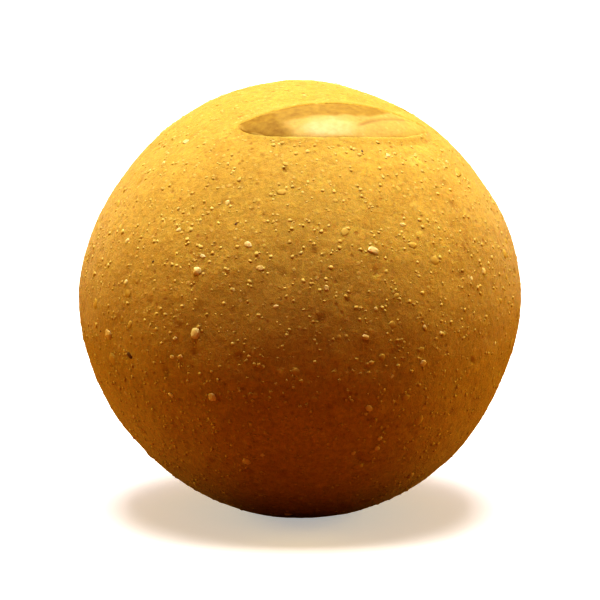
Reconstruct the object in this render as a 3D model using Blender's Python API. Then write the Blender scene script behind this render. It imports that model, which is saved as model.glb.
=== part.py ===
"""Besan ladoo: a ball of roasted gram-flour dough, rolled between the palms, with a
half-moon slice of almond pressed flush into the front of its top.

Metres, +Z up, front towards -Y. The origin is the middle of the flat spot that the
ball rests on.
"""

import math

import bmesh
import bpy
from mathutils import Euler, Vector

# The ball
BALL_RADIUS = 0.0225
BALL_SUBDIVISIONS = 5
REST_SPOT_RADIUS = 0.0055
BALL_CENTRE_HEIGHT = math.sqrt(BALL_RADIUS**2 - REST_SPOT_RADIUS**2)

# Rolling leaves the ball a little flat under the palms and full between them. Each
# mark is (degrees round from +X, degrees above the equator, how far the skin moves).
PALM_MARKS = (
    (12, 44, -0.00020),
    (172, 34, -0.00028),
    (-6, -24, -0.00035),
    (-150, -30, -0.00025),
    (-95, 8, -0.00022),
    (62, 18, -0.00030),
    (118, -22, -0.00025),
    (0, 4, 0.00045),
    (180, 2, 0.00040),
    (130, 75, 0.00020),
    (-52, -38, 0.00025),
    (95, 40, 0.00022),
)
PALM_MARK_SPREAD = 0.12  # 1 - cos(angle) at which a mark fades to 1/e of its middle
DOUGH_COLOUR = (0.56, 0.31, 0.06)
DOUGH_ROUGHNESS = 0.75

# The almond slice: half an oval, its straight edge to the back
SLICE_LENGTH = 0.0210
SLICE_FRONT_WIDTH = 0.0060
SLICE_BACK_WIDTH = 0.0006
SLICE_THICKNESS = 0.0012
SLICE_PROUD = 0.00035  # its top face above the dough
SLICE_EDGE_SQUARENESS = 0.55  # power of the rim's section: 1 is an oval, 0 a box
SLICE_TIP_SHARE = 0.35  # thickness at the very tips, as a share of the middle's
SLICE_TIP_RISE = 2.2  # how fast that share grows with the slice's width
SLICE_STATIONS = 26
SLICE_RIM_POINTS = 16
# From level on top of the ball: tipped to the front, then to the right, after a turn
SLICE_TIP_FRONT = math.radians(15.5)
SLICE_TIP_RIGHT = math.radians(9.0)
SLICE_TURN = math.radians(19.5)
ALMOND_COLOUR = (0.85, 0.66, 0.36)
ALMOND_ROUGHNESS = 0.5

# The slice's bed in the dough
POCKET_GAP = 0.0003
POCKET_OPENING = 0.0020  # how far the pocket's cutter reaches out of the ball

SHARP_EDGE = math.radians(40)


def clear_scene():
    for thing in list(bpy.data.objects):
        bpy.data.objects.remove(thing, do_unlink=True)


def unit_vector(round_degrees, up_degrees):
    turn = math.radians(round_degrees)
    rise = math.radians(up_degrees)
    return Vector(
        (math.cos(rise) * math.cos(turn), math.cos(rise) * math.sin(turn), math.sin(rise))
    )


MARKS = [(unit_vector(turn, rise), depth) for turn, rise, depth in PALM_MARKS]


def rolled_radius(towards):
    """Distance from the ball's centre to its skin in the direction of a unit vector."""
    radius = BALL_RADIUS
    for middle, depth in MARKS:
        radius += depth * math.exp((towards.dot(middle) - 1) / PALM_MARK_SPREAD)
    return radius


def plain_material(name, colour, roughness):
    material = bpy.data.materials.new(name)
    material.use_nodes = True
    shader = material.node_tree.nodes["Principled BSDF"]
    shader.inputs["Base Color"].default_value = (*colour, 1)
    shader.inputs["Roughness"].default_value = roughness
    shader.inputs["Metallic"].default_value = 0
    return material


def finish_object(name, mesh, material=None):
    """Write a bmesh to a new smooth-shaded object at the ball's centre."""
    bmesh.ops.recalc_face_normals(mesh, faces=mesh.faces[:])
    data = bpy.data.meshes.new(name)
    mesh.to_mesh(data)
    mesh.free()
    data.shade_smooth()
    data.set_sharp_from_angle(angle=SHARP_EDGE)
    if material:
        data.materials.append(material)
    thing = bpy.data.objects.new(name, data)
    thing.location.z = BALL_CENTRE_HEIGHT
    bpy.context.scene.collection.objects.link(thing)
    return thing


def make_ball():
    """The dough: a sphere moved out to the rolled skin, with its foot cut flat."""
    mesh = bmesh.new()
    bmesh.ops.create_icosphere(mesh, subdivisions=BALL_SUBDIVISIONS, radius=1)
    for vertex in mesh.verts:
        towards = vertex.co.normalized()
        vertex.co = towards * rolled_radius(towards)
    cut = bmesh.ops.bisect_plane(
        mesh,
        geom=mesh.verts[:] + mesh.edges[:] + mesh.faces[:],
        plane_co=(0, 0, -BALL_CENTRE_HEIGHT),
        plane_no=(0, 0, -1),
        clear_outer=True,
    )
    rim = [part for part in cut["geom_cut"] if isinstance(part, bmesh.types.BMEdge)]
    bmesh.ops.edgeloop_fill(mesh, edges=rim)
    return finish_object("ladoo_ball", mesh, plain_material("dough", DOUGH_COLOUR, DOUGH_ROUGHNESS))


SEAT_TIP = Euler((SLICE_TIP_FRONT, SLICE_TIP_RIGHT, 0)).to_matrix()
SEAT = SEAT_TIP @ Euler((0, 0, SLICE_TURN)).to_matrix()


def seat_point(along, across, height):
    """A place over the ball, from distances along the slice, across it towards its
    straight edge, and out from the ball's skin."""
    turn = along / BALL_RADIUS
    rise = across / BALL_RADIUS
    towards = SEAT @ Vector(
        (math.sin(turn) * math.cos(rise), math.sin(rise), math.cos(turn) * math.cos(rise))
    )
    return towards * (rolled_radius(towards) + height)


def half_moon(name, grow, low, high, material=None):
    """The slice's half-moon outline, grown by a margin, as a closed solid between two
    heights over the ball's skin."""
    mesh = bmesh.new()
    half_length = SLICE_LENGTH / 2 + grow
    front = SLICE_FRONT_WIDTH + grow
    back = SLICE_BACK_WIDTH + grow
    middle_height = (low + high) / 2
    rings = []
    for station in range(1, SLICE_STATIONS):
        turn = math.pi * station / SLICE_STATIONS
        fullness = math.sin(turn)
        centre = (back - front) / 2 * fullness
        half_width = (back + front) / 2 * fullness
        thickness_share = min(1, SLICE_TIP_SHARE + SLICE_TIP_RISE * fullness)
        half_height = (high - low) / 2 * thickness_share
        ring = []
        for step in range(SLICE_RIM_POINTS):
            angle = 2 * math.pi * step / SLICE_RIM_POINTS
            sideways = math.copysign(abs(math.cos(angle)) ** SLICE_EDGE_SQUARENESS, math.cos(angle))
            upwards = math.copysign(abs(math.sin(angle)) ** SLICE_EDGE_SQUARENESS, math.sin(angle))
            ring.append(
                mesh.verts.new(
                    seat_point(
                        -half_length * math.cos(turn),
                        centre + half_width * sideways,
                        middle_height + half_height * upwards,
                    )
                )
            )
        rings.append(ring)
    for left, right in zip(rings, rings[1:]):
        for step in range(SLICE_RIM_POINTS):
            following = (step + 1) % SLICE_RIM_POINTS
            mesh.faces.new((left[step], right[step], right[following], left[following]))
    for ring, end in ((rings[0], -half_length), (rings[-1], half_length)):
        tip = mesh.verts.new(seat_point(end, 0, middle_height))
        for step in range(SLICE_RIM_POINTS):
            mesh.faces.new((ring[step], ring[(step + 1) % SLICE_RIM_POINTS], tip))
    return finish_object(name, mesh, material)


def make_slice():
    almond = plain_material("almond", ALMOND_COLOUR, ALMOND_ROUGHNESS)
    return half_moon("almond_slice", 0, SLICE_PROUD - SLICE_THICKNESS, SLICE_PROUD, almond)


def press_pocket(ball):
    """The slice's bed in the dough: its outline with a small gap, open to the outside."""
    cutter = half_moon(
        "pocket_cutter", POCKET_GAP, SLICE_PROUD - SLICE_THICKNESS - POCKET_GAP, POCKET_OPENING
    )
    cutter.hide_render = True
    cutter.display_type = "WIRE"
    pocket = ball.modifiers.new("pocket", "BOOLEAN")
    pocket.operation = "DIFFERENCE"
    pocket.solver = "EXACT"
    pocket.object = cutter


clear_scene()
press_pocket(make_ball())
make_slice()
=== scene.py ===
import math
import random

import bmesh
import bpy
import numpy as np
from mathutils import Euler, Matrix, Quaternion, Vector, noise
from mathutils.bvhtree import BVHTree


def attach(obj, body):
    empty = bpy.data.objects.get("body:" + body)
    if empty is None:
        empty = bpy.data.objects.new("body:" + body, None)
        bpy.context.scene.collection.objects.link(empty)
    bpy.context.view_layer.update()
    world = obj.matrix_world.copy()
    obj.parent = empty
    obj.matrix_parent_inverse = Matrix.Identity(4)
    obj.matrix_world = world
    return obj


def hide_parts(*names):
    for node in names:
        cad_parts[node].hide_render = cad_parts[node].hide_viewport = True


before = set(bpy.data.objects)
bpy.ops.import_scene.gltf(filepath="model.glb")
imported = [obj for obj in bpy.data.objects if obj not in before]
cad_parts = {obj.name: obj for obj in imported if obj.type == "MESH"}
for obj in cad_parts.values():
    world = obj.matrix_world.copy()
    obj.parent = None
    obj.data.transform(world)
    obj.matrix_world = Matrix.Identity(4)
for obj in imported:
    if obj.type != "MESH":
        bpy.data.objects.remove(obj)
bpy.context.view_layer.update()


# ---------------------------------------------------------------------------------------
# The ball of dough: gram flour roasted in ghee until it is golden, mixed with ground sugar
# while warm, and rolled between the palms. Rolling leaves broad flats, a sandy skin with
# open pores and fine cracks, and a flat spot where the soft ball settles on the plate.
# ---------------------------------------------------------------------------------------
BALL_RADIUS = 0.0225
REST_SPOT_RADIUS = 0.0055
BALL_CENTRE = Vector((0, 0, math.sqrt(BALL_RADIUS**2 - REST_SPOT_RADIUS**2)))

# Palm marks: degrees round from +X, degrees above the equator, how far the skin moves
PALM_MARKS = (
    (12, 44, -0.00020),
    (172, 34, -0.00028),
    (-6, -24, -0.00035),
    (-150, -30, -0.00025),
    (-95, 8, -0.00022),
    (62, 18, -0.00030),
    (118, -22, -0.00025),
    (0, 4, 0.00045),
    (180, 2, 0.00040),
    (130, 75, 0.00020),
    (-52, -38, 0.00025),
    (95, 40, 0.00022),
)
PALM_MARK_SPREAD = 0.12

# The almond's bed in the dough: half an oval, its straight edge to the back
SLICE_LENGTH = 0.0210
SLICE_FRONT_WIDTH = 0.0060
SLICE_BACK_WIDTH = 0.0006
SLICE_THICKNESS = 0.0012
SLICE_PROUD = 0.00035
SEAT_TIP = Euler((math.radians(15.5), math.radians(9.0), 0)).to_matrix()
SEAT = SEAT_TIP @ Euler((0, 0, math.radians(19.5))).to_matrix()

MM = 0.001
DOUGH_GRID = 128
GRID_PULL = 0.28

# The skin's relief, from the broadest marks to the finest. A shift moves a pattern, so that
# no two lie on each other, and a share is how many of the grains stand out.
LUMP_SIZE, LUMP_DEPTH = 7.0 * MM, 0.14 * MM
KNEAD_SIZE, KNEAD_DEPTH, KNEAD_SHIFT = 2.6 * MM, 0.055 * MM, 0.05
COARSE_SIZE, COARSE_DEPTH, COARSE_SHARE = 1.7 * MM, 0.055 * MM, 0.45
GRAIN_SIZE, GRAIN_DEPTH, GRAIN_SHARE = 0.9 * MM, 0.045 * MM, 0.65
GRAIN_SHIFT = 0.03
FINE_SIZE, FINE_DEPTH, FINE_SHIFT = 0.6 * MM, 0.020 * MM, 0.11

# Pores are shallow and pinholes deep: how many, and their least and largest in millimetres
PORES, PORE_WIDTHS, PORE_DEPTHS = 330, (0.35, 0.8), (0.04, 0.12)
PINHOLES, PINHOLE_WIDTHS, PINHOLE_DEPTHS = 14, (0.3, 0.45), (0.25, 0.4)

# Hairline cracks: degrees round and up where each starts, its heading, its length
CRACKS = (
    (48, -12, 100, 8.5),
    (61, 6, 30, 5.0),
    (-172, -20, 80, 7.5),
    (118, 28, -20, 7.0),
    (-58, -34, 160, 5.5),
    (150, -42, 10, 6.5),
)
CRACK_WIDTH, CRACK_DEPTH = 0.26 * MM, 0.13 * MM
CRACK_STEP = 0.12 * MM
CRACK_BEND, CRACK_JOG = 1.1, 0.7

# The lip of dough round the almond, and where along the slice it starts to creep over it
LIP_HEIGHT, LIP_WIDTH = 0.20 * MM, 0.60 * MM
LIP_NOISE_SIZE, LIP_NOISE_SHIFT = 1.6 * MM, 0.21
CREEP_START, CREEP_END, CREEP_WIDTH = 5.0 * MM, 10.0 * MM, 1.1 * MM
BED_EDGE, BED_FLOOR = -0.32 * MM, -0.75 * MM
REST_EDGE = 0.00018
ISLAND_MARGIN = 0.012


def unit_vector(round_degrees, up_degrees):
    """A direction from the ball's middle, by degrees round from +X and up from level."""
    turn = math.radians(round_degrees)
    rise = math.radians(up_degrees)
    return Vector(
        (math.cos(rise) * math.cos(turn), math.cos(rise) * math.sin(turn), math.sin(rise))
    )


def rolled_radii(directions):
    """Distance from the ball's centre to its skin, for an array of unit directions."""
    radii = np.full(len(directions), BALL_RADIUS)
    for turn, rise, depth in PALM_MARKS:
        closeness = directions @ np.array(unit_vector(turn, rise))
        radii += depth * np.exp((closeness - 1) / PALM_MARK_SPREAD)
    return radii


def smooth_step(low, high, values):
    """An eased step from 0 to 1 between two values, either way round, for an array."""
    share = np.clip((values - low) / (high - low), 0, 1)
    return share * share * (3 - 2 * share)


def noise_over(places, size):
    """Smooth noise from -1 to 1 whose lumps are about one size across."""
    return np.array([noise.noise(place) for place in (places / size).tolist()])


def grains_over(places, size, share):
    """Loose-packed grains: how far each lifts the skin, from 0 to 1, and its own tone. Only
    a share of them stands out; the rest lies level with the dough."""
    lifts = np.empty(len(places))
    tones = np.empty(len(places))
    for index, place in enumerate((places / size).tolist()):
        distances, middles = noise.voronoi(place)
        tone = noise.cell(middles[0] * 31.7)
        reach = 0.4 + 0.25 * noise.cell(middles[0] * 17.3)
        stands = max(0.0, (tone - 1 + share) / share)
        lifts[index] = max(0.0, 1 - (distances[0] / reach) ** 2) ** 1.5 * stands**0.5
        tones[index] = noise.cell(middles[0] * 53.9)
    return lifts, tones


def random_direction(dice):
    """An even pick of all directions from the ball's middle."""
    rise = math.asin(dice.uniform(-1, 1))
    return unit_vector(dice.uniform(-180, 180), math.degrees(rise))


def slice_places(directions):
    """Where directions fall on the almond's bed: along it, across it, and the distance
    outside its edge (negative inside)."""
    local = directions @ np.array(SEAT)
    along = np.arctan2(local[:, 0], local[:, 2]) * BALL_RADIUS
    across = np.arcsin(np.clip(local[:, 1], -1, 1)) * BALL_RADIUS
    turns = np.linspace(0, 2 * math.pi, 240, endpoint=False)
    rim_along = SLICE_LENGTH / 2 * np.cos(turns)
    widths = np.where(turns < math.pi, SLICE_BACK_WIDTH, SLICE_FRONT_WIDTH)
    rim_across = widths * np.sin(turns)
    near = (np.abs(along) < SLICE_LENGTH) & (np.abs(across) < SLICE_LENGTH) & (local[:, 2] > 0)
    outside = np.full(len(directions), SLICE_LENGTH)
    gaps = np.hypot(
        along[near, None] - rim_along[None, :],
        across[near, None] - rim_across[None, :],
    ).min(axis=1)
    fullness = np.sqrt(np.clip(1 - (2 * along[near] / SLICE_LENGTH) ** 2, 0, 1))
    inside = (across[near] < SLICE_BACK_WIDTH * fullness) & (
        across[near] > -SLICE_FRONT_WIDTH * fullness
    )
    outside[near] = np.where(inside, -gaps, gaps)
    return along, across, outside


# The ball starts as a cube cut into a fine grid and blown up, so its squares are even,
# then the grid is drawn a little towards the almond, where the finest shapes are
cube = bmesh.new()
bmesh.ops.create_cube(cube, size=2)
bmesh.ops.subdivide_edges(cube, edges=cube.edges[:], cuts=DOUGH_GRID - 1, use_grid_fill=True)
dough_mesh = bpy.data.meshes.new("dough_ball")
cube.to_mesh(dough_mesh)
cube.free()
grid = np.empty(3 * len(dough_mesh.vertices))
dough_mesh.vertices.foreach_get("co", grid)
grid = grid.reshape(-1, 3)
even = np.tan(grid * math.pi / 4)
drawn = even / np.linalg.norm(even, axis=1, keepdims=True) + GRID_PULL * np.array(SEAT.col[2])
directions = drawn / np.linalg.norm(drawn, axis=1, keepdims=True)
radii = rolled_radii(directions)
skin = directions * radii[:, None]

coarse_lift, coarse_tone = grains_over(skin, COARSE_SIZE, COARSE_SHARE)
grain_lift, grain_tone = grains_over(skin + GRAIN_SHIFT, GRAIN_SIZE, GRAIN_SHARE)
relief = LUMP_DEPTH * noise_over(skin, LUMP_SIZE)
relief += KNEAD_DEPTH * noise_over(skin + KNEAD_SHIFT, KNEAD_SIZE)
relief += FINE_DEPTH * noise_over(skin + FINE_SHIFT, FINE_SIZE)
relief += COARSE_DEPTH * coarse_lift
relief += GRAIN_DEPTH * grain_lift
tone = 0.5 + (grain_tone - 0.4) * grain_lift + (coarse_tone - 0.4) * coarse_lift * 0.6
# A mask of painted shade: how far the dough's colour is darkened in the low places between grains,
# and more in pores, pinholes and cracks
hollow_shade = np.clip(0.22 - grain_lift - coarse_lift, 0, 1)

# Pores and pinholes, each with painted shade in its pit
dice = random.Random(11)
for number in range(PORES + PINHOLES):
    middle = np.array(random_direction(dice))
    if number < PORES:
        width = dice.uniform(*PORE_WIDTHS) * MM
        depth = dice.uniform(*PORE_DEPTHS) * MM
    else:
        width = dice.uniform(*PINHOLE_WIDTHS) * MM
        depth = dice.uniform(*PINHOLE_DEPTHS) * MM
    gap = np.linalg.norm(directions - middle, axis=1) * BALL_RADIUS
    dip = np.exp(-((gap / width) ** 2) * 2)
    relief -= depth * dip
    hollow_shade = np.maximum(hollow_shade, dip * min(1, depth / (PORE_DEPTHS[1] * MM)))

# Each crack wanders about its heading over the skin in short steps, and paints shade into its groove
for number, (turn, rise, heading, length) in enumerate(CRACKS):
    at = unit_vector(turn, rise)
    across_up = Vector((0, 0, 1)).cross(at).normalized()
    going = Quaternion(at, math.radians(heading)) @ across_up
    steps = round(length * MM / CRACK_STEP)
    trail = []
    for step in range(steps):
        swing = CRACK_BEND * noise.noise(Vector((step * 0.07, number * 9.1, 0)))
        swing += CRACK_JOG * noise.noise(Vector((step * 0.31, number * 9.1, 4)))
        swung = Quaternion(at, swing) @ going
        at = (at + swung * (CRACK_STEP / BALL_RADIUS)).normalized()
        going = (going - at * going.dot(at)).normalized()
        trail.append(at.copy())
    near = np.flatnonzero(directions @ np.array(trail[steps // 2]) > math.cos(0.3))
    gaps = np.linalg.norm(directions[near, None] - np.array(trail)[None], axis=2) * BALL_RADIUS
    closest = gaps.argmin(axis=1)
    taper = np.sin(math.pi * (closest + 0.5) / steps) ** 0.5
    split = np.exp(-((gaps.min(axis=1) / CRACK_WIDTH) ** 2) * 1.5) * taper
    relief[near] -= CRACK_DEPTH * split
    hollow_shade[near] = np.maximum(hollow_shade[near], split)

# The dough rises in a soft, uneven lip round the almond and creeps over its right end
along, across, outside = slice_places(directions)
uneven = noise_over(skin + LIP_NOISE_SHIFT, LIP_NOISE_SIZE)
creep = smooth_step(CREEP_START, CREEP_END, along)
lip = np.exp(-(((outside + 0.1 * MM) / LIP_WIDTH) ** 2))
lip_top = LIP_HEIGHT * (0.9 + 0.35 * uneven + 0.7 * creep)
bed = smooth_step(BED_EDGE, BED_FLOOR, outside + CREEP_WIDTH * creep)
relief = relief * (1 - 0.7 * lip) + lip_top * lip
relief = relief * (1 - bed) - bed * SLICE_THICKNESS * 0.8

radii = radii + relief
places = directions * radii[:, None] + np.array(BALL_CENTRE)

# The flat spot, pressed smooth, with a rounded edge
heights = places[:, 2]
places[:, 2] = (heights + np.sqrt(heights**2 + REST_EDGE**2)) / 2
places[:, 2] -= places[:, 2].min()

dough_mesh.vertices.foreach_set("co", places.ravel())
# The grain tone and the mask of painted shade in the hollows go to the shader as attributes
for name, values in (("grain_tone", np.clip(tone, 0, 1)), ("hollow_shade", hollow_shade)):
    layer = dough_mesh.attributes.new(name, "FLOAT", "POINT")
    layer.data.foreach_set("value", values)

# One island for each side of the cube
corner_points = np.empty(len(dough_mesh.loops), dtype=np.int32)
dough_mesh.loops.foreach_get("vertex_index", corner_points)
corners = grid[corner_points].reshape(-1, 4, 3)
middles = corners.mean(axis=1)
axis = np.abs(middles).argmax(axis=1)
rows = np.arange(len(axis))
side = axis * 2 + (middles[rows, axis] > 0)
first = corners[rows[:, None], np.arange(4)[None, :], ((axis + 1) % 3)[:, None]]
second = corners[rows[:, None], np.arange(4)[None, :], ((axis + 2) % 3)[:, None]]
flat = np.stack([first, second], axis=-1) / 2 + 0.5
flat = ISLAND_MARGIN + flat * (1 - 2 * ISLAND_MARGIN)
flat[..., 0] = (flat[..., 0] + (side % 3)[:, None]) / 3
flat[..., 1] = (flat[..., 1] + (side // 3)[:, None]) / 2
dough_map = dough_mesh.uv_layers.new(name="OFBake")
dough_map.data.foreach_set("uv", flat.ravel())
dough_mesh.shade_smooth()
dough_mesh.update()

dough_ball = bpy.data.objects.new("dough_ball", dough_mesh)
bpy.context.scene.collection.objects.link(dough_ball)


def put(tree, kind, settings=None, inputs=None):
    """Add a node, with its settings, and its inputs set to values or linked to sockets."""
    node = tree.nodes.new(kind)
    for key, value in (settings or {}).items():
        setattr(node, key, value)
    for key, value in (inputs or {}).items():
        if isinstance(value, bpy.types.NodeSocket):
            tree.links.new(value, node.inputs[key])
        else:
            node.inputs[key].default_value = value
    return node


def new_material(name):
    """An empty material with a Principled shader, and the place in millimetres."""
    material = bpy.data.materials.new(name)
    material.use_nodes = True
    tree = material.node_tree
    shader = tree.nodes["Principled BSDF"]
    place = put(tree, "ShaderNodeTexCoord").outputs["Object"]
    place_mm = put(
        tree, "ShaderNodeVectorMath", {"operation": "SCALE"}, {0: place, "Scale": 1000}
    ).outputs[0]
    return material, tree, shader, place_mm


def mix_colour(tree, factor, first_colour, second_colour):
    """Blend two colours, each a plain colour or a socket."""
    node = put(tree, "ShaderNodeMix", {"data_type": "RGBA"}, {0: factor})
    for key, value in ((6, first_colour), (7, second_colour)):
        if isinstance(value, bpy.types.NodeSocket):
            tree.links.new(value, node.inputs[key])
        else:
            node.inputs[key].default_value = (*value, 1)
    return node.outputs[2]


def ramp(tree, factor, stops):
    """A colour ramp from (place, colour or grey) stops."""
    node = put(tree, "ShaderNodeValToRGB", None, {0: factor})
    elements = node.color_ramp.elements
    while len(elements) < len(stops):
        elements.new(0.5)
    for element, (place, colour) in zip(elements, stops):
        element.position = place
        element.color = (*colour, 1) if isinstance(colour, tuple) else (colour, colour, colour, 1)
    return node.outputs[0]


# Shared: the sandy look of roasted gram flour. Patches of more and less roast, sand in
# straw, gold and tan, single pale and dark specks, and painted dark red shade in the hollows.
flour = bpy.data.node_groups.new("roasted flour", "ShaderNodeTree")
for name, kind, way in (
    ("Place", "NodeSocketVector", "INPUT"),
    ("Grain Tone", "NodeSocketFloat", "INPUT"),
    ("Hollow Shade", "NodeSocketFloat", "INPUT"),
    ("Colour", "NodeSocketColor", "OUTPUT"),
    ("Roughness", "NodeSocketFloat", "OUTPUT"),
    ("Height", "NodeSocketFloat", "OUTPUT"),
):
    flour.interface.new_socket(name=name, in_out=way, socket_type=kind)
flour_in = flour.nodes.new("NodeGroupInput").outputs
flour_out = flour.nodes.new("NodeGroupOutput")
patch = put(
    flour, "ShaderNodeTexNoise", None,
    {"Vector": flour_in["Place"], "Scale": 0.16, "Detail": 3.0, "Roughness": 0.55},
).outputs[0]
sand = put(
    flour, "ShaderNodeTexNoise", None,
    {"Vector": flour_in["Place"], "Scale": 2.2, "Detail": 6.0, "Roughness": 0.78},
).outputs[0]
grit = put(
    flour, "ShaderNodeTexVoronoi", None, {"Vector": flour_in["Place"], "Scale": 1.7},
)
grit_tones = put(flour, "ShaderNodeSeparateColor", None, {0: grit.outputs["Color"]}).outputs
mottle = put(
    flour, "ShaderNodeTexNoise", None,
    {"Vector": flour_in["Place"], "Scale": 0.55, "Detail": 2.0, "Roughness": 0.6},
).outputs[0]
blotch = put(flour, "ShaderNodeMix", None, {0: 0.45, 2: patch, 3: mottle}).outputs[0]
roast = ramp(flour, blotch, ((0.38, (0.52, 0.320, 0.044)), (0.62, (0.68, 0.470, 0.086))))
grains = ramp(
    flour, flour_in["Grain Tone"],
    ((0.0, (0.47, 0.265, 0.036)), (0.45, (0.60, 0.395, 0.064)),
     (0.62, (0.65, 0.442, 0.084)), (1.0, (0.75, 0.56, 0.14))),
)
toned = mix_colour(flour, 0.5, roast, grains)
sandy = ramp(flour, sand, ((0.3, 0.74), (0.5, 1.0), (0.72, 1.22)))
sanded = put(
    flour, "ShaderNodeMix", {"data_type": "RGBA", "blend_type": "MULTIPLY"},
    {0: 1.0, 6: toned, 7: sandy},
).outputs[2]


def speck_mask(channel, share, strength):
    """One grain in so many, picked by a random tone, soft at its edge."""
    picked = put(
        flour, "ShaderNodeMapRange", None,
        {0: grit_tones[channel], "From Min": 1 - share, "From Max": 1 - share + 0.03},
    ).outputs[0]
    middle = put(
        flour, "ShaderNodeMapRange", None,
        {0: grit.outputs["Distance"], "From Min": 0.42, "From Max": 0.22, "To Max": strength},
    ).outputs[0]
    return put(flour, "ShaderNodeMath", {"operation": "MULTIPLY"}, {0: picked, 1: middle}).outputs[0]


pale_specks = speck_mask(0, 0.13, 0.6)
dark_specks = speck_mask(1, 0.10, 0.5)
paled = mix_colour(flour, pale_specks, sanded, (0.78, 0.58, 0.16))
specked = mix_colour(flour, dark_specks, paled, (0.34, 0.15, 0.016))
# Painted shade: the colour is darkened towards a deep red brown by half the hollow mask
shade = put(flour, "ShaderNodeMath", {"operation": "MULTIPLY"}, {0: flour_in["Hollow Shade"], 1: 0.5})
coloured = mix_colour(flour, shade.outputs[0], specked, (0.32, 0.13, 0.012))
rough = put(
    flour, "ShaderNodeMapRange", None,
    {0: sand, "From Min": 0.3, "From Max": 0.7, "To Min": 0.68, "To Max": 0.9},
).outputs[0]
raised = put(
    flour, "ShaderNodeMath", {"operation": "MULTIPLY_ADD"}, {0: pale_specks, 1: 0.5, 2: sand}
).outputs[0]
grit_height = put(
    flour, "ShaderNodeMath", {"operation": "MULTIPLY_ADD"}, {0: dark_specks, 1: -0.5, 2: raised}
).outputs[0]
flour.links.new(coloured, flour_out.inputs["Colour"])
flour.links.new(rough, flour_out.inputs["Roughness"])
flour.links.new(grit_height, flour_out.inputs["Height"])


def flour_nodes(tree, place_mm, tone, hollow_shade):
    """Place the roasted flour in a material, for a grain tone and a mask of painted shade
    in the hollows.
    """
    group = put(
        tree, "ShaderNodeGroup", {"node_tree": flour},
        {"Place": place_mm, "Grain Tone": tone, "Hollow Shade": hollow_shade},
    )
    return group.outputs


dough, tree, shader, place_mm = new_material("dough")
tone = put(tree, "ShaderNodeAttribute", {"attribute_name": "grain_tone"}).outputs["Fac"]
# The hollow mask paints shade into the pits, cracks and gaps between grains
pit_shade = put(tree, "ShaderNodeAttribute", {"attribute_name": "hollow_shade"}).outputs["Fac"]
looks = flour_nodes(tree, place_mm, tone, pit_shade)
tree.links.new(looks["Colour"], shader.inputs["Base Color"])
tree.links.new(looks["Roughness"], shader.inputs["Roughness"])
grain_bump = put(
    tree, "ShaderNodeBump", None,
    {"Strength": 1.0, "Distance": 0.00013, "Height": looks["Height"]},
).outputs[0]
tree.links.new(grain_bump, shader.inputs["Normal"])
shader.inputs["Specular IOR Level"].default_value = 0.2
shader.inputs["Sheen Weight"].default_value = 0.14
shader.inputs["Sheen Roughness"].default_value = 0.45
shader.inputs["Subsurface Weight"].default_value = 0.3
shader.inputs["Subsurface Radius"].default_value = (1.0, 0.35, 0.08)
shader.inputs["Subsurface Scale"].default_value = 0.0018
dough_mesh.materials.append(dough)

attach(dough_ball, "root")
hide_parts("ladoo_ball")


# ---------------------------------------------------------------------------------------
# The almond slice: a dried almond cut lengthwise with its skin on, pressed flush into the
# top of the warm ball. The flesh is cream, and the skin shows at the left tip and along
# the straight back edge. A film of dough is smeared over its right half.
# ---------------------------------------------------------------------------------------
SLICE_STATIONS = 220
SLICE_TOP_POINTS = 56
SLICE_EDGE_POWER = 3.6
SLICE_TIP_SHARE = 0.35
SLICE_TIP_RISE = 2.2
BACK_BEVEL = 0.16 * MM
SKIN_TIP_END = -6.0 * MM
SKIN_BAND_WIDTH = 2.3 * MM
SKIN_BAND_END = 4.0 * MM
SKIN_LINE_END = 8.7 * MM
CREASE_START = Vector((1.0, -4.3)) * MM
CREASE_END = Vector((10.4, -0.2)) * MM
CREASE_DEPTH, CREASE_WIDTH, CREASE_BOW = 0.07 * MM, 0.22 * MM, 0.35 * MM
SKIN_LINE_WIDTH = 0.25 * MM
CREAM_ALONG, CREAM_ACROSS = -1.5 * MM, -4.2 * MM
CREAM_HALF_LENGTH, CREAM_HALF_WIDTH = 2.8 * MM, 1.4 * MM
RIM_FILM = 0.42 * MM
FILM_CREEP, FILM_CREEP_START, FILM_CREEP_END = 1.6 * MM, 4.0 * MM, 10.0 * MM
FIBRE_HEIGHT = 0.03 * MM
FLESH_HEIGHT = 0.05 * MM


def seat_point(along, across, height):
    """A place over the ball, from distances along the slice, across it towards its
    straight edge, and out from the ball's skin."""
    turn = along / BALL_RADIUS
    rise = across / BALL_RADIUS
    towards = SEAT @ Vector(
        (math.sin(turn) * math.cos(rise), math.sin(rise), math.cos(turn) * math.cos(rise))
    )
    radius = rolled_radii(np.array([towards]))[0]
    return BALL_CENTRE + towards * (radius + height)


def step_between(low, high, value):
    """The same eased step, for one number."""
    share = min(1, max(0, (value - low) / (high - low)))
    return share * share * (3 - 2 * share)


def skin_share(along, across):
    """How much of the almond's own skin is left: all of it at the left tip, a band along
    the back that thins to a line, and none on the cut flesh."""
    ragged = 0.35 * MM * noise.noise(Vector((along, across, 0)) / (1.3 * MM))
    tip = step_between(SKIN_TIP_END + 0.9 * MM, SKIN_TIP_END - 0.7 * MM, along + ragged)
    thinning = step_between(SKIN_BAND_END - 1.2 * MM, SKIN_BAND_END + 2.6 * MM, along)
    depth = SKIN_BAND_WIDTH * (1 - thinning) + SKIN_LINE_WIDTH * thinning
    band = step_between(-depth - 0.35 * MM, -depth + 0.25 * MM, across + ragged)
    band *= 0.8 * step_between(SKIN_LINE_END + 1.5 * MM, SKIN_LINE_END - 1 * MM, along)
    return max(tip, band)


def cream_share(along, across):
    """The clean cut flesh, an oval towards the left of the front."""
    ragged = 0.22 * noise.noise(Vector((along, across, 5 * MM)) / (1.1 * MM))
    sideways = (along - CREAM_ALONG) / CREAM_HALF_LENGTH
    forwards = (across - CREAM_ACROSS) / CREAM_HALF_WIDTH
    return step_between(1.5, 0.5, math.hypot(sideways, forwards) + ragged)


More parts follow.
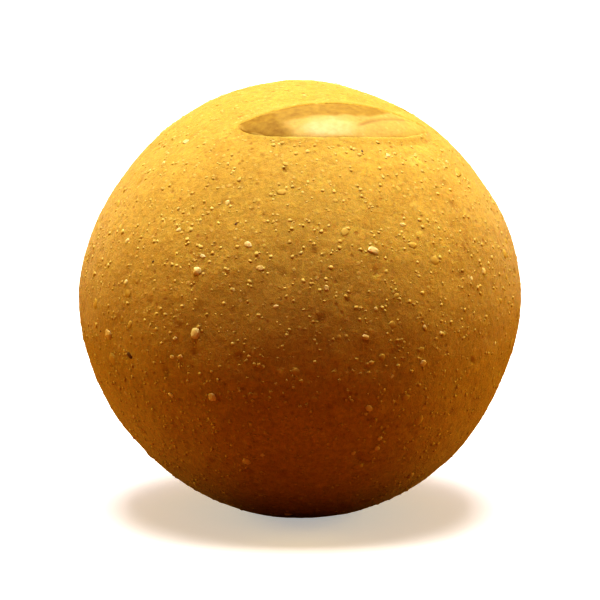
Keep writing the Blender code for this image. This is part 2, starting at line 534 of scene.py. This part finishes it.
def crease_share(along, across):
    """A thin crease where the film of dough has sunk, from the flesh to the right tip. The
    same mask sinks the surface and paints shade along the crease.
    """
    route = CREASE_END - CREASE_START
    reach = (Vector((along, across)) - CREASE_START).dot(route) / route.length_squared
    nearest = min(1, max(0, reach))
    bow = CREASE_BOW * math.sin(math.pi * nearest)
    gap = (Vector((along, across - bow)) - CREASE_START - route * nearest).length
    return math.exp(-((gap / CREASE_WIDTH) ** 2)) * step_between(-0.02, 0.12, reach)


def rim_share(along, across, front, back):
    """The dough that creeps over the rim of the slice, wider at the right end."""
    ragged = 0.30 * MM * noise.noise(Vector((along, across, 9 * MM)) / (0.8 * MM))
    creep = FILM_CREEP * step_between(FILM_CREEP_START, FILM_CREEP_END, along)
    ends = (SLICE_LENGTH / 2 - abs(along)) * 0.45
    inside = min(back - across, across + front, ends) + ragged - creep
    return step_between(RIM_FILM, 0.35 * RIM_FILM, inside)


def slice_section():
    """Points round the slice's section: shares of its half width and half thickness."""
    points = []
    for side in (1, -1):
        for step in range(SLICE_TOP_POINTS):
            swing = math.sin(math.pi * step / SLICE_TOP_POINTS - math.pi / 2)
            lift = (1 - abs(swing) ** SLICE_EDGE_POWER) ** (1 / SLICE_EDGE_POWER)
            points.append((-side * swing, side * lift))
    return points


almond_shape = bmesh.new()
almond_marks = {
    name: almond_shape.verts.layers.float.new(name)
    for name in ("skin", "cream", "crease_and_shade", "rim")
}
section = slice_section()
slice_rings = []
for station in range(1, SLICE_STATIONS):
    turn = math.pi * station / SLICE_STATIONS
    fullness = math.sin(turn)
    along_slice = -math.cos(turn) * SLICE_LENGTH / 2
    wobble = noise.noise(Vector((along_slice / (4 * MM), 0, 3.1)))
    front = SLICE_FRONT_WIDTH * fullness * (1 + 0.03 * wobble)
    back = (SLICE_BACK_WIDTH + 0.15 * MM * wobble) * fullness
    half = SLICE_THICKNESS / 2 * min(1, SLICE_TIP_SHARE + SLICE_TIP_RISE * fullness)
    ring = []
    for sideways, upwards in section:
        across_slice = (back - front) / 2 + (back + front) / 2 * sideways
        grain = Vector((along_slice / (5 * MM), across_slice / (0.9 * MM), 1.7))
        cream = cream_share(along_slice, across_slice)
        crease_and_shade = crease_share(along_slice, across_slice)
        marks = (
            skin_share(along_slice, across_slice),
            cream,
            crease_and_shade,
            rim_share(along_slice, across_slice, front, back),
        )
        height = SLICE_PROUD - SLICE_THICKNESS / 2 + half * upwards
        if upwards > 0:
            height -= BACK_BEVEL * max(0, sideways - 0.1) * upwards
            height += FIBRE_HEIGHT * noise.noise(grain) + FLESH_HEIGHT * cream
            height -= CREASE_DEPTH * crease_and_shade
        vertex = almond_shape.verts.new(seat_point(along_slice, across_slice, height))
        for layer, mark in zip(almond_marks.values(), marks):
            vertex[layer] = mark
        ring.append(vertex)
    slice_rings.append(ring)
for left, right in zip(slice_rings, slice_rings[1:]):
    for step in range(len(section)):
        following = (step + 1) % len(section)
        almond_shape.faces.new((left[step], right[step], right[following], left[following]))
for ring, end in ((slice_rings[0], -1), (slice_rings[-1], 1)):
    tip = almond_shape.verts.new(
        seat_point(end * SLICE_LENGTH / 2, 0, SLICE_PROUD - SLICE_THICKNESS / 2)
    )
    tip[almond_marks["rim"]] = 1
    for step in range(len(section)):
        almond_shape.faces.new((ring[step], ring[(step + 1) % len(section)], tip))
bmesh.ops.recalc_face_normals(almond_shape, faces=almond_shape.faces[:])
almond_mesh = bpy.data.meshes.new("almond")
almond_shape.to_mesh(almond_mesh)
almond_shape.free()
almond_mesh.shade_smooth()
almond = bpy.data.objects.new("almond", almond_mesh)
bpy.context.scene.collection.objects.link(almond)

almond_look, tree, shader, place_mm = new_material("almond")
marks = {
    name: put(tree, "ShaderNodeAttribute", {"attribute_name": name}).outputs["Fac"]
    for name in ("skin", "cream", "crease_and_shade", "rim")
}
fibres = put(
    tree, "ShaderNodeTexNoise", None,
    {"Vector": place_mm, "Scale": 1.3, "Detail": 3.0},
).outputs[0]
flesh = ramp(tree, fibres, ((0.3, (0.58, 0.395, 0.11)), (0.7, (0.68, 0.50, 0.17))))
film = flour_nodes(tree, place_mm, 0.55, 0.0)
smeared = mix_colour(tree, 0.5, film["Colour"], (0.43, 0.295, 0.095))
cut_face = mix_colour(tree, marks["cream"], smeared, flesh)
husk = ramp(tree, fibres, ((0.3, (0.26, 0.14, 0.008)), (0.7, (0.38, 0.235, 0.022))))
skinned = mix_colour(tree, marks["skin"], cut_face, husk)
# Painted shade: the crease is darkened to a dull brown
crease_shaded = mix_colour(tree, marks["crease_and_shade"], skinned, (0.36, 0.22, 0.055))
rim_film = mix_colour(tree, 0.4, film["Colour"], (0.43, 0.285, 0.085))
edged = mix_colour(tree, marks["rim"], crease_shaded, rim_film)
tree.links.new(edged, shader.inputs["Base Color"])
almond_rough = put(
    tree, "ShaderNodeMapRange", None, {0: marks["cream"], "To Min": 0.72, "To Max": 0.42}
).outputs[0]
tree.links.new(almond_rough, shader.inputs["Roughness"])
almond_bump = put(
    tree, "ShaderNodeBump", None,
    {"Strength": 0.6, "Distance": 0.00008, "Height": film["Height"]},
).outputs[0]
tree.links.new(almond_bump, shader.inputs["Normal"])
shader.inputs["Specular IOR Level"].default_value = 0.25
shader.inputs["Subsurface Weight"].default_value = 0.2
shader.inputs["Subsurface Radius"].default_value = (1.0, 0.6, 0.25)
shader.inputs["Subsurface Scale"].default_value = 0.0012
almond_mesh.materials.append(almond_look)

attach(almond, "root")
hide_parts("almond_slice")


# ---------------------------------------------------------------------------------------
# Sugar grains: crystals of coarse sugar that did not melt, rolled into the warm skin of
# the ball so that about a third of each shows. The large ones lie where the hand left them,
# and small ones are sprinkled all over.
# ---------------------------------------------------------------------------------------
# Large grains: degrees round and up, length and width in millimetres
LARGE_SUGAR = (
    (-105, 26, 0.85, 0.6),
    (-69, 24, 1.3, 0.7),
    (-118, 2, 1.2, 1.0),
    (-150, -3, 1.1, 1.0),
    (-114, -15, 1.0, 0.9),
    (-107, -35, 1.0, 0.8),
    (-46, -44, 0.9, 0.7),
    (-73, 2, 0.8, 0.6),
    (-70, 9, 0.5, 0.4),
    (-83, 15, 0.6, 0.5),
    (-114, 37, 0.6, 0.5),
    (-124, 0, 0.55, 0.4),
    (-101, 20, 0.7, 0.5),
    (-118, 22, 0.6, 0.4),
    (-143, 12, 0.6, 0.5),
    (-125, -5, 0.55, 0.4),
    (-38, 13, 0.5, 0.35),
    (-58, 30, 0.7, 0.5),
    (-128, 28, 0.6, 0.4),
)
SMALL_SUGAR = 90
FOOT_RISE = -0.93  # grains keep off the foot: a direction straight down has a rise of -1

skin_tree = BVHTree.FromPolygons(
    places.tolist(), [tuple(face.vertices) for face in dough_mesh.polygons]
)


def free_direction(dice, margin):
    """A random direction that meets the dough clear of the almond and of the foot."""
    while True:
        towards = random_direction(dice)
        clear = slice_places(np.array([towards]))[2][0] > margin
        if clear and towards.z > FOOT_RISE:
            return towards


def round_grain(cuts):
    """Corners and faces of a small ball of triangles, to shape grains from."""
    ball = bmesh.new()
    bmesh.ops.create_icosphere(ball, subdivisions=cuts, radius=1)
    corners = [corner.co.copy() for corner in ball.verts]
    faces = [[corner.index for corner in face.verts] for face in ball.faces]
    ball.free()
    return corners, faces


def set_grain(kind, towards, length, width, squash, sunk, boxy, dice):
    """Corners and tone of one rough grain, set where a direction from the ball's middle
    meets its skin: squash is thickness over width, sunk the buried share of that."""
    spot, normal, _, _ = skin_tree.ray_cast(BALL_CENTRE, towards)
    turned = normal.to_track_quat("Z", "Y") @ Quaternion((0, 0, 1), dice.uniform(0, math.tau))
    seed = Vector((dice.uniform(0, 90), dice.uniform(0, 90), dice.uniform(0, 90)))
    corners = []
    for corner in kind[0]:
        bulge = Vector([math.copysign(abs(side) ** boxy, side) for side in corner])
        bulge *= 0.5 * (1 + 0.3 * noise.noise(corner * 1.4 + seed))
        height = (bulge.z + 0.5 - sunk) * width * squash
        corners.append(spot + turned @ Vector((bulge.x * length, bulge.y * width, height)))
    return corners, dice.random()


def scattered_piece(name, kind, grains, material, smooth):
    """Join set grains into one object that belongs to the ball."""
    mesh = bpy.data.meshes.new(name)
    count = len(kind[0])
    corners = [corner for grain, _ in grains for corner in grain]
    faces = [
        [number * count + corner for corner in face]
        for number in range(len(grains))
        for face in kind[1]
    ]
    mesh.from_pydata(corners, [], faces)
    layer = mesh.attributes.new("grain_tone", "FLOAT", "POINT")
    layer.data.foreach_set("value", np.repeat([tone for _, tone in grains], count))
    if smooth:
        mesh.shade_smooth()
    mesh.materials.append(material)
    piece = bpy.data.objects.new(name, mesh)
    bpy.context.scene.collection.objects.link(piece)
    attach(piece, "root")


def grain_material(name, dark, pale, roughness):
    """A plain grain: its own tone between two colours, with a fine mottle."""
    material, tree, shader, place_mm = new_material(name)
    own = put(tree, "ShaderNodeAttribute", {"attribute_name": "grain_tone"}).outputs["Fac"]
    mottle = put(tree, "ShaderNodeTexNoise", None, {"Vector": place_mm, "Scale": 4.0}).outputs[0]
    blend = put(tree, "ShaderNodeMix", None, {0: 0.35, 2: own, 3: mottle}).outputs[0]
    tree.links.new(ramp(tree, blend, ((0.1, dark), (0.9, pale))), shader.inputs["Base Color"])
    shader.inputs["Roughness"].default_value = roughness
    shader.inputs["Subsurface Weight"].default_value = 0.25
    shader.inputs["Subsurface Radius"].default_value = (1.0, 0.6, 0.25)
    shader.inputs["Subsurface Scale"].default_value = 0.0006
    return material


sugar = grain_material("sugar", (0.74, 0.54, 0.17), (0.88, 0.72, 0.34), 0.38)
dice = random.Random(23)
crystal = round_grain(2)
sugar_grains = []
for turn, rise, length, width in LARGE_SUGAR:
    towards = unit_vector(turn, rise)
    sugar_grains.append(
        set_grain(crystal, towards, length * MM, width * MM, 0.6, 0.68, 0.75, dice)
    )
for _ in range(SMALL_SUGAR):
    towards = free_direction(dice, 0.8 * MM)
    length = dice.triangular(0.40, 1.0, 0.45) * MM
    width = length * dice.uniform(0.6, 1.0)
    sunk = dice.uniform(0.6, 0.8)
    sugar_grains.append(set_grain(crystal, towards, length, width, 0.65, sunk, 0.75, dice))
scattered_piece("sugar_grains", crystal, sugar_grains, sugar, False)


# ---------------------------------------------------------------------------------------
# Flour grains: the coarse roasted gram flour itself, grains of a quarter to two thirds of
# a millimetre in gold and straw that make the skin of the ball feel like fine sand.
# ---------------------------------------------------------------------------------------
FLOUR_GRAINS = 6000

flour_grain_look = grain_material("flour grain", (0.54, 0.33, 0.048), (0.74, 0.55, 0.14), 0.75)
dice = random.Random(37)
coarse_flour = round_grain(1)
flour_grains = []
for _ in range(FLOUR_GRAINS):
    towards = free_direction(dice, 0.1 * MM)
    length = dice.triangular(0.25, 0.65, 0.32) * MM
    width = length * dice.uniform(0.65, 1.0)
    sunk = dice.uniform(0.62, 0.92)
    flour_grains.append(set_grain(coarse_flour, towards, length, width, 0.5, sunk, 0.8, dice))
scattered_piece("flour_grains", coarse_flour, flour_grains, flour_grain_look, True)


# ---------------------------------------------------------------------------------------
# Roasted specks: bits of flour that caught on the bottom of the pan and went dark brown.
# They lie flat in the skin, and one larger one sits low on the left.
# ---------------------------------------------------------------------------------------
ROASTED_SPECKS = 26
LARGE_SPECK = (-141, -7, 0.95, 0.75)

roasted = grain_material("roasted speck", (0.07, 0.022, 0.006), (0.20, 0.085, 0.018), 0.6)
dice = random.Random(41)
turn, rise, length, width = LARGE_SPECK
towards = unit_vector(turn, rise)
roasted_specks = [set_grain(crystal, towards, length * MM, width * MM, 0.4, 0.8, 0.9, dice)]
for _ in range(ROASTED_SPECKS):
    towards = free_direction(dice, 0.6 * MM)
    length = dice.uniform(0.2, 0.42) * MM
    width = length * dice.uniform(0.5, 0.9)
    sunk = dice.uniform(0.7, 0.85)
    roasted_specks.append(set_grain(crystal, towards, length, width, 0.5, sunk, 0.9, dice))
scattered_piece("roasted_specks", crystal, roasted_specks, roasted, True)


# ---------------------------------------------------------------------------------------
# Dough crumbs: scraps of the same dough that stuck to the ball in its last roll between
# the palms, pressed flat, so that each stands only a little above the skin.
# ---------------------------------------------------------------------------------------
CRUMBS = 130

crumb_look = grain_material("dough crumb", (0.54, 0.335, 0.048), (0.68, 0.47, 0.086), 0.8)
dice = random.Random(53)
dough_crumbs = []
for _ in range(CRUMBS):
    towards = free_direction(dice, 1.0 * MM)
    length = dice.triangular(0.5, 1.7, 0.8) * MM
    width = length * dice.uniform(0.55, 0.95)
    sunk = dice.uniform(0.7, 0.85)
    corners, tone = set_grain(crystal, towards, length, width, 0.26, sunk, 1.0, dice)
    dough_crumbs.append((corners, 0.38 + 0.2 * tone))
scattered_piece("dough_crumbs", crystal, dough_crumbs, crumb_look, True)


# ---------------------------------------------------------------------------------------
# The table is a plain pale sheet. It gives little light back to the underside of the ball,
# where on a heaped plate only warm light from other ladoos comes. A broad soft light hangs
# overhead, a cool one behind and a warm one at each side, and a warm glow fills in.
# ---------------------------------------------------------------------------------------
FLOOR_REACH = 6.0
FLOOR_WHITE = (0.80, 0.79, 0.77, 1)
FLOOR_BOUNCE = (0.22, 0.08, 0.02, 1)
BACKDROP_GLOW = 0.96
GLOW_NEAR, GLOW_FAR = 0.42, 0.96
GLOW_NEAR_REACH, GLOW_FAR_REACH = 0.15, 0.90
GLOW_COLOUR = (1.0, 0.42, 0.04, 1)
GLOW_STRENGTH = 0.125
SIDE_COLOUR = (1.0, 0.80, 0.24)

floor_mesh = bmesh.new()
bmesh.ops.create_grid(floor_mesh, x_segments=1, y_segments=1, size=FLOOR_REACH)
floor_data = bpy.data.meshes.new("floor")
floor_mesh.to_mesh(floor_data)
floor_mesh.free()
floor = bpy.data.objects.new("floor", floor_data)
bpy.context.scene.collection.objects.link(floor)
floor_look = bpy.data.materials.new("floor")
floor_look.use_nodes = True
tree = floor_look.node_tree
tree.nodes.clear()
paper = put(tree, "ShaderNodeBsdfDiffuse", None, {"Color": FLOOR_WHITE}).outputs[0]
floor_place = put(tree, "ShaderNodeTexCoord").outputs["Object"]
reach = put(tree, "ShaderNodeVectorMath", {"operation": "LENGTH"}, {0: floor_place}).outputs[1]
floor_glow = put(
    tree, "ShaderNodeMapRange", {"interpolation_type": "SMOOTHSTEP"},
    {0: reach, "From Min": GLOW_NEAR_REACH, "From Max": GLOW_FAR_REACH,
     "To Min": GLOW_NEAR, "To Max": GLOW_FAR},
).outputs[0]
glow = put(
    tree, "ShaderNodeEmission", None, {"Color": FLOOR_WHITE, "Strength": floor_glow}
).outputs[0]
seen = put(tree, "ShaderNodeAddShader", None, {0: paper, 1: glow}).outputs[0]
underside = put(tree, "ShaderNodeBsdfDiffuse", None, {"Color": FLOOR_BOUNCE}).outputs[0]
camera_ray = put(tree, "ShaderNodeLightPath").outputs["Is Camera Ray"]
floor_mix = put(tree, "ShaderNodeMixShader", None, {0: camera_ray, 1: underside, 2: seen})
put(tree, "ShaderNodeOutputMaterial", None, {"Surface": floor_mix.outputs[0]})
floor_data.materials.append(floor_look)


def soft_light(name, place, width, height, power, colour):
    """A soft box that faces the ball."""
    data = bpy.data.lights.new(name, "AREA")
    data.color = colour
    data.shape = "RECTANGLE"
    data.size = width
    data.size_y = height
    data.energy = power
    light = bpy.data.objects.new(name, data)
    light.location = place
    light.rotation_euler = (Vector(place) - BALL_CENTRE).to_track_quat("Z", "Y").to_euler()
    light.visible_camera = False
    bpy.context.scene.collection.objects.link(light)


soft_light("overhead", (0.0, 0.02, 1.2), 0.72, 0.72, 21.6, (1, 0.97, 1))
soft_light("back", (0.0, 0.55, 1.0), 0.8, 0.5, 2.6, (0.52, 0.60, 1))
soft_light("left", (-0.48, 0.13, 0.12), 0.3, 0.24, 1.05, SIDE_COLOUR)
soft_light("right", (0.48, 0.13, 0.12), 0.3, 0.24, 1.1, SIDE_COLOUR)

world = bpy.data.worlds.new("studio")
world.use_nodes = True
tree = world.node_tree
tree.nodes.clear()
fill = put(tree, "ShaderNodeBackground", None, {"Color": GLOW_COLOUR, "Strength": GLOW_STRENGTH})
backdrop = put(tree, "ShaderNodeBackground", None, {"Color": FLOOR_WHITE, "Strength": BACKDROP_GLOW})
camera_ray = put(tree, "ShaderNodeLightPath").outputs["Is Camera Ray"]
world_mix = put(
    tree, "ShaderNodeMixShader", None,
    {0: camera_ray, 1: fill.outputs[0], 2: backdrop.outputs[0]},
)
put(tree, "ShaderNodeOutputWorld", None, {"Surface": world_mix.outputs[0]})
bpy.context.scene.world = world
bpy.context.scene.view_settings.view_transform = "Standard"
bpy.context.scene.view_settings.look = "High Contrast"

CAMERA_RISE = math.radians(12)
CAMERA_DISTANCE = 0.62
CAMERA_LENS = 360
SENSOR_WIDTH = 36
camera_data = bpy.data.cameras.new("camera")
camera_data.lens = CAMERA_LENS
camera_data.sensor_width = SENSOR_WIDTH
camera = bpy.data.objects.new("camera", camera_data)
camera.location = BALL_CENTRE + CAMERA_DISTANCE * Vector(
    (0, -math.cos(CAMERA_RISE), math.sin(CAMERA_RISE))
)
camera.rotation_euler = (math.pi / 2 - CAMERA_RISE, 0, 0)
bpy.context.scene.collection.objects.link(camera)
bpy.context.scene.camera = camera
